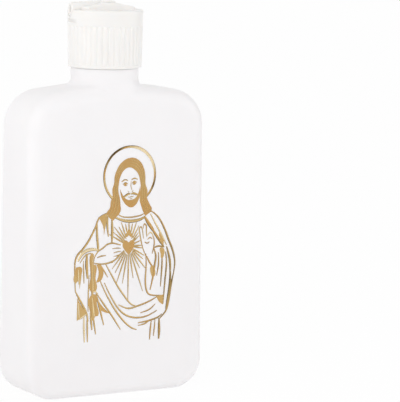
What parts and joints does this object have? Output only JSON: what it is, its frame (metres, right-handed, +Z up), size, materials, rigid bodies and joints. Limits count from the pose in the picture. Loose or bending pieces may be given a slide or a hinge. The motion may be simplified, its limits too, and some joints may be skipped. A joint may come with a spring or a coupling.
{
  "type": "holy water bottle",
  "caption": "Small flat white plastic bottle with a ribbed screw cap, a flip-up pouring spout and a gold foil devotional figure on its front panel.",
  "frame": {"origin": "middle of the base, on the surface that the bottle stands on", "axes": "+Z up along the neck, the printed front panel faces -Y, +X to the right seen from the front"},
  "size_m": [0.06, 0.0231, 0.1202],
  "materials": {
    "bottle_plastic": "satin blow-moulded white, faintly translucent",
    "cap_plastic": "semi-gloss injection-moulded warm white",
    "liner_foam": "matt foam",
    "gold_foil": "hot-stamped gold foil"
  },
  "bodies": {
    "bottle": {"bottle_body": "bottle_plastic", "foil_figure": "gold_foil"},
    "liner": {"sealing_liner": "liner_foam"},
    "cap": {"ribbed_cap": "cap_plastic"},
    "spout": {"flip_spout": "cap_plastic"}
  },
  "joints": [
    {"name": "cap_lift", "type": "slide", "parent": "bottle", "child": "liner", "axis": [0, 0, 1], "range_m": [0, 0.0048]},
    {"name": "cap_turn", "type": "hinge", "parent": "liner", "child": "cap", "pos_m": [0, 0, 0.1131], "axis": [0, 0, 1], "range_deg": [0, 540]},
    {"name": "spout_flip", "type": "hinge", "parent": "cap", "child": "spout", "pos_m": [0, 0, 0.11705], "axis": [0.1564, 0.9877, 0], "range_deg": [0, 90]}
  ],
  "couplings": [
    {"joint": "cap_lift", "follows": "cap_turn", "m_per_rad": 0.00050532}
  ]
}
